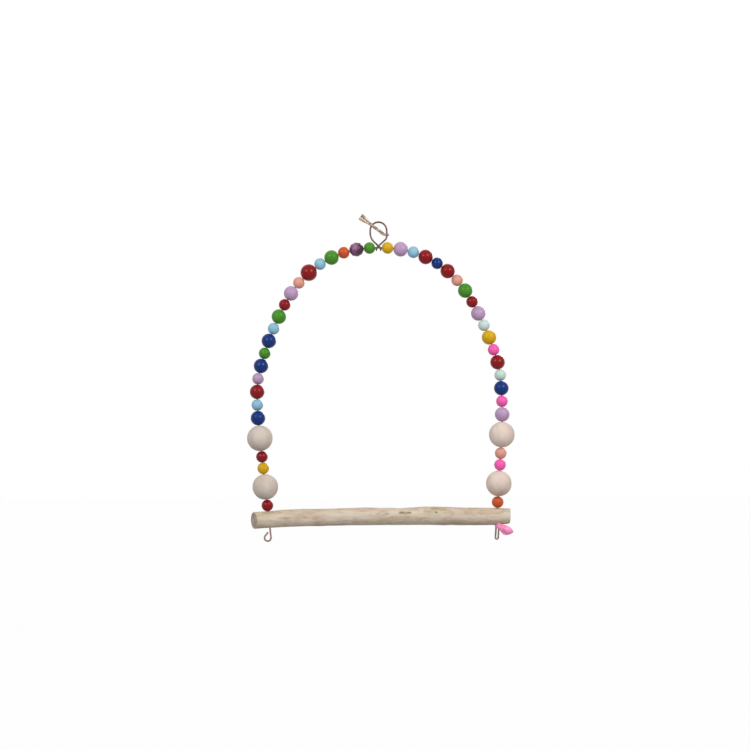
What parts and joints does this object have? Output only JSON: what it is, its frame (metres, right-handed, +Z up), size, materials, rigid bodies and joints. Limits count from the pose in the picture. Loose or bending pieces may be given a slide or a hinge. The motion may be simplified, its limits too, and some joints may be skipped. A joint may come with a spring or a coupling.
{
  "type": "bird swing",
  "caption": "Hanging bird swing: a beaded wire arch with a natural wooden perch, hung from a small wire ring by two crossed hooks.",
  "frame": {"origin": "inner top of the hanging ring's eye, where a cage hook bears", "axes": "+Z up along the hanging line, +X to the right along the perch as seen from the front, -Y towards the front"},
  "size_m": [0.1821, 0.0174, 0.2214],
  "materials": {
    "ring_wire": "dark, slightly tarnished wire",
    "tie": "gold twist tie",
    "arch_wire": "drawn wire",
    "branch": "bare peeled branch",
    "ribbon": "pink satin ribbon",
    "bead_green": "glossy grass green",
    "bead_purple": "clear purple, faceted",
    "bead_orange": "glossy orange",
    "bead_sky": "glossy pale sky blue",
    "bead_red": "glossy dark red",
    "bead_peach": "glossy peach",
    "bead_lilac": "glossy lilac",
    "bead_blue": "glossy navy blue",
    "ball_wood": "plain turned wood, matt",
    "bead_yellow": "glossy golden yellow",
    "bead_mint": "pale frosted mint",
    "bead_pink": "bright glossy pink"
  },
  "bodies": {
    "hanger": {"hanging_ring": "ring_wire"},
    "tie": {"twist_tie": "tie"},
    "swing": {"arch_wire": "arch_wire", "perch": "branch", "ribbon_scrap": "ribbon"},
    "bead_left_01_green_body": {"bead_left_01_green": "bead_green"},
    "bead_left_02_purple_body": {"bead_left_02_purple": "bead_purple"},
    "bead_left_03_orange_body": {"bead_left_03_orange": "bead_orange"},
    "bead_left_04_green_body": {"bead_left_04_green": "bead_green"},
    "bead_left_05_sky_body": {"bead_left_05_sky": "bead_sky"},
    "bead_left_06_red_body": {"bead_left_06_red": "bead_red"},
    "bead_left_07_peach_body": {"bead_left_07_peach": "bead_peach"},
    "bead_left_08_lilac_body": {"bead_left_08_lilac": "bead_lilac"},
    "bead_left_09_red_body": {"bead_left_09_red": "bead_red"},
    "bead_left_10_green_body": {"bead_left_10_green": "bead_green"},
    "bead_left_11_sky_body": {"bead_left_11_sky": "bead_sky"},
    "bead_left_12_blue_body": {"bead_left_12_blue": "bead_blue"},
    "bead_left_13_green_body": {"bead_left_13_green": "bead_green"},
    "bead_left_14_blue_body": {"bead_left_14_blue": "bead_blue"},
    "bead_left_15_lilac_body": {"bead_left_15_lilac": "bead_lilac"},
    "bead_left_16_red_body": {"bead_left_16_red": "bead_red"},
    "bead_left_17_sky_body": {"bead_left_17_sky": "bead_sky"},
    "bead_left_18_blue_body": {"bead_left_18_blue": "bead_blue"},
    "bead_left_19_wood_body": {"bead_left_19_wood": "ball_wood"},
    "bead_left_20_red_body": {"bead_left_20_red": "bead_red"},
    "bead_left_21_yellow_body": {"bead_left_21_yellow": "bead_yellow"},
    "bead_left_22_wood_body": {"bead_left_22_wood": "ball_wood"},
    "bead_left_23_red_body": {"bead_left_23_red": "bead_red"},
    "bead_right_01_yellow_body": {"bead_right_01_yellow": "bead_yellow"},
    "bead_right_02_lilac_body": {"bead_right_02_lilac": "bead_lilac"},
    "bead_right_03_sky_body": {"bead_right_03_sky": "bead_sky"},
    "bead_right_04_red_body": {"bead_right_04_red": "bead_red"},
    "bead_right_05_blue_body": {"bead_right_05_blue": "bead_blue"},
    "bead_right_06_red_body": {"bead_right_06_red": "bead_red"},
    "bead_right_07_peach_body": {"bead_right_07_peach": "bead_peach"},
    "bead_right_08_green_body": {"bead_right_08_green": "bead_green"},
    "bead_right_09_red_body": {"bead_right_09_red": "bead_red"},
    "bead_right_10_lilac_body": {"bead_right_10_lilac": "bead_lilac"},
    "bead_right_11_mint_body": {"bead_right_11_mint": "bead_mint"},
    "bead_right_12_yellow_body": {"bead_right_12_yellow": "bead_yellow"},
    "bead_right_13_pink_body": {"bead_right_13_pink": "bead_pink"},
    "bead_right_14_red_body": {"bead_right_14_red": "bead_red"},
    "bead_right_15_mint_body": {"bead_right_15_mint": "bead_mint"},
    "bead_right_16_blue_body": {"bead_right_16_blue": "bead_blue"},
    "bead_right_17_pink_body": {"bead_right_17_pink": "bead_pink"},
    "bead_right_18_lilac_body": {"bead_right_18_lilac": "bead_lilac"},
    "bead_right_19_wood_body": {"bead_right_19_wood": "ball_wood"},
    "bead_right_20_peach_body": {"bead_right_20_peach": "bead_peach"},
    "bead_right_21_pink_body": {"bead_right_21_pink": "bead_pink"},
    "bead_right_22_wood_body": {"bead_right_22_wood": "ball_wood"},
    "bead_right_23_orange_body": {"bead_right_23_orange": "bead_orange"}
  },
  "joints": [
    {"name": "swing", "type": "hinge", "parent": "hanger", "child": "swing", "pos_m": [0, 0, -0.01686], "axis": [1, 0, 0], "range_deg": [-75, 75]},
    {"name": "tie_swivel", "type": "hinge", "parent": "hanger", "child": "tie", "pos_m": [0.0056, 0, -0.008], "axis": [0, 0, 1], "range_deg": [0, 165]},
    {"name": "spin_left_01", "type": "hinge", "parent": "swing", "child": "bead_left_01_green_body", "pos_m": [-0.00612, 0, -0.01691], "axis": [-0.9992, 0, -0.0392], "continuous": true},
    {"name": "spin_left_02", "type": "hinge", "parent": "swing", "child": "bead_left_02_purple_body", "pos_m": [-0.01496, 0, -0.01785], "axis": [-0.9851, 0, -0.1718], "continuous": true},
    {"name": "spin_left_03", "type": "hinge", "parent": "swing", "child": "bead_left_03_orange_body", "pos_m": [-0.0236, 0, -0.01996], "axis": [-0.9535, 0, -0.3014], "continuous": true},
    {"name": "spin_left_04", "type": "hinge", "parent": "swing", "child": "bead_left_04_green_body", "pos_m": [-0.03189, 0, -0.02321], "axis": [-0.9049, 0, -0.4256], "continuous": true},
    {"name": "spin_left_05", "type": "hinge", "parent": "swing", "child": "bead_left_05_sky_body", "pos_m": [-0.03967, 0, -0.02752], "axis": [-0.8402, 0, -0.5423], "continuous": true},
    {"name": "spin_left_06", "type": "hinge", "parent": "swing", "child": "bead_left_06_red_body", "pos_m": [-0.04736, 0, -0.03331], "axis": [-0.7534, 0, -0.6576], "continuous": true},
    {"name": "spin_left_07", "type": "hinge", "parent": "swing", "child": "bead_left_07_peach_body", "pos_m": [-0.05414, 0, -0.04015], "axis": [-0.6508, 0, -0.7592], "continuous": true},
    {"name": "spin_left_08", "type": "hinge", "parent": "swing", "child": "bead_left_08_lilac_body", "pos_m": [-0.05947, 0, -0.04728], "axis": [-0.544, 0, -0.8391], "continuous": true},
    {"name": "spin_left_09", "type": "hinge", "parent": "swing", "child": "bead_left_09_red_body", "pos_m": [-0.06388, 0, -0.055], "axis": [-0.4664, 0, -0.8846], "continuous": true},
    {"name": "spin_left_10", "type": "hinge", "parent": "swing", "child": "bead_left_10_green_body", "pos_m": [-0.06786, 0, -0.06297], "axis": [-0.4275, 0, -0.904], "continuous": true},
    {"name": "spin_left_11", "type": "hinge", "parent": "swing", "child": "bead_left_11_sky_body", "pos_m": [-0.07149, 0, -0.0711], "axis": [-0.3879, 0, -0.9217], "continuous": true},
    {"name": "spin_left_12", "type": "hinge", "parent": "swing", "child": "bead_left_12_blue_body", "pos_m": [-0.07476, 0, -0.07937], "axis": [-0.3475, 0, -0.9377], "continuous": true},
    {"name": "spin_left_13", "type": "hinge", "parent": "swing", "child": "bead_left_13_green_body", "pos_m": [-0.07768, 0, -0.08779], "axis": [-0.3065, 0, -0.9519], "continuous": true},
    {"name": "spin_left_14", "type": "hinge", "parent": "swing", "child": "bead_left_14_blue_body", "pos_m": [-0.08022, 0, -0.09632], "axis": [-0.2648, 0, -0.9643], "continuous": true},
    {"name": "spin_left_15", "type": "hinge", "parent": "swing", "child": "bead_left_15_lilac_body", "pos_m": [-0.08227, 0, -0.10498], "axis": [-0.1627, 0, -0.9867], "continuous": true},
    {"name": "spin_left_16", "type": "hinge", "parent": "swing", "child": "bead_left_16_red_body", "pos_m": [-0.08295, 0, -0.11385], "axis": [-0.0111, 0, -0.9999], "continuous": true},
    {"name": "spin_left_17", "type": "hinge", "parent": "swing", "child": "bead_left_17_sky_body", "pos_m": [-0.08289, 0, -0.12275], "axis": [0.0242, 0, -0.9997], "continuous": true},
    {"name": "spin_left_18", "type": "hinge", "parent": "swing", "child": "bead_left_18_blue_body", "pos_m": [-0.08252, 0, -0.13164], "axis": [0.0595, 0, -0.9982], "continuous": true},
    {"name": "spin_left_19", "type": "hinge", "parent": "swing", "child": "bead_left_19_wood_body", "pos_m": [-0.08134, 0, -0.14532], "axis": [0.1045, 0, -0.9945], "continuous": true},
    {"name": "spin_left_20", "type": "hinge", "parent": "swing", "child": "bead_left_20_red_body", "pos_m": [-0.08002, 0, -0.1579], "axis": [0.1045, 0, -0.9945], "continuous": true},
    {"name": "spin_left_21", "type": "hinge", "parent": "swing", "child": "bead_left_21_yellow_body", "pos_m": [-0.0792, 0, -0.16569], "axis": [0.1045, 0, -0.9945], "continuous": true},
    {"name": "spin_left_22", "type": "hinge", "parent": "swing", "child": "bead_left_22_wood_body", "pos_m": [-0.07788, 0, -0.17828], "axis": [0.1045, 0, -0.9945], "continuous": true},
    {"name": "spin_left_23", "type": "hinge", "parent": "swing", "child": "bead_left_23_red_body", "pos_m": [-0.07655, 0, -0.19087], "axis": [0.1045, 0, -0.9945], "continuous": true},
    {"name": "spin_right_01", "type": "hinge", "parent": "swing", "child": "bead_right_01_yellow_body", "pos_m": [0.00612, 0, -0.01691], "axis": [0.9992, 0, -0.0394], "continuous": true},
    {"name": "spin_right_02", "type": "hinge", "parent": "swing", "child": "bead_right_02_lilac_body", "pos_m": [0.01496, 0, -0.01786], "axis": [0.9849, 0, -0.1729], "continuous": true},
    {"name": "spin_right_03", "type": "hinge", "parent": "swing", "child": "bead_right_03_sky_body", "pos_m": [0.0236, 0, -0.01998], "axis": [0.9529, 0, -0.3032], "continuous": true},
    {"name": "spin_right_04", "type": "hinge", "parent": "swing", "child": "bead_right_04_red_body", "pos_m": [0.03188, 0, -0.02324], "axis": [0.9038, 0, -0.428], "continuous": true},
    {"name": "spin_right_05", "type": "hinge", "parent": "swing", "child": "bead_right_05_blue_body", "pos_m": [0.03965, 0, -0.02758], "axis": [0.8383, 0, -0.5452], "continuous": true},
    {"name": "spin_right_06", "type": "hinge", "parent": "swing", "child": "bead_right_06_red_body", "pos_m": [0.04676, 0, -0.03292], "axis": [0.7578, 0, -0.6525], "continuous": true},
    {"name": "spin_right_07", "type": "hinge", "parent": "swing", "child": "bead_right_07_peach_body", "pos_m": [0.0531, 0, -0.03916], "axis": [0.6636, 0, -0.7481], "continuous": true},
    {"name": "spin_right_08", "type": "hinge", "parent": "swing", "child": "bead_right_08_green_body", "pos_m": [0.05854, 0, -0.0462], "axis": [0.5575, 0, -0.8302], "continuous": true},
    {"name": "spin_right_09", "type": "hinge", "parent": "swing", "child": "bead_right_09_red_body", "pos_m": [0.0631, 0, -0.05384], "axis": [0.4853, 0, -0.8743], "continuous": true},
    {"name": "spin_right_10", "type": "hinge", "parent": "swing", "child": "bead_right_10_lilac_body", "pos_m": [0.06725, 0, -0.06172], "axis": [0.4449, 0, -0.8956], "continuous": true},
    {"name": "spin_right_11", "type": "hinge", "parent": "swing", "child": "bead_right_11_mint_body", "pos_m": [0.07102, 0, -0.06979], "axis": [0.4036, 0, -0.9149], "continuous": true},
    {"name": "spin_right_12", "type": "hinge", "parent": "swing", "child": "bead_right_12_yellow_body", "pos_m": [0.07443, 0, -0.07801], "axis": [0.3614, 0, -0.9324], "continuous": true},
    {"name": "spin_right_13", "type": "hinge", "parent": "swing", "child": "bead_right_13_pink_body", "pos_m": [0.07746, 0, -0.08638], "axis": [0.3185, 0, -0.9479], "continuous": true},
    {"name": "spin_right_14", "type": "hinge", "parent": "swing", "child": "bead_right_14_red_body", "pos_m": [0.0801, 0, -0.09488], "axis": [0.2729, 0, -0.962], "continuous": true},
    {"name": "spin_right_15", "type": "hinge", "parent": "swing", "child": "bead_right_15_mint_body", "pos_m": [0.08184, 0, -0.10361], "axis": [0.1172, 0, -0.9931], "continuous": true},
    {"name": "spin_right_16", "type": "hinge", "parent": "swing", "child": "bead_right_16_blue_body", "pos_m": [0.0825, 0, -0.11248], "axis": [0.0561, 0, -0.9984], "continuous": true},
    {"name": "spin_right_17", "type": "hinge", "parent": "swing", "child": "bead_right_17_pink_body", "pos_m": [0.08287, 0, -0.12138], "axis": [0.0264, 0, -0.9997], "continuous": true},
    {"name": "spin_right_18", "type": "hinge", "parent": "swing", "child": "bead_right_18_lilac_body", "pos_m": [0.08297, 0, -0.13028], "axis": [-0.0032, 0, -1], "continuous": true},
    {"name": "spin_right_19", "type": "hinge", "parent": "swing", "child": "bead_right_19_wood_body", "pos_m": [0.08262, 0, -0.144], "axis": [-0.049, 0, -0.9988], "continuous": true},
    {"name": "spin_right_20", "type": "hinge", "parent": "swing", "child": "bead_right_20_peach_body", "pos_m": [0.0818, 0, -0.15663], "axis": [-0.0698, 0, -0.9976], "continuous": true},
    {"name": "spin_right_21", "type": "hinge", "parent": "swing", "child": "bead_right_21_pink_body", "pos_m": [0.08125, 0, -0.16444], "axis": [-0.0698, 0, -0.9976], "continuous": true},
    {"name": "spin_right_22", "type": "hinge", "parent": "swing", "child": "bead_right_22_wood_body", "pos_m": [0.08037, 0, -0.17707], "axis": [-0.0698, 0, -0.9976], "continuous": true},
    {"name": "spin_right_23", "type": "hinge", "parent": "swing", "child": "bead_right_23_orange_body", "pos_m": [0.07949, 0, -0.18969], "axis": [-0.0698, 0, -0.9976], "continuous": true}
  ]
}
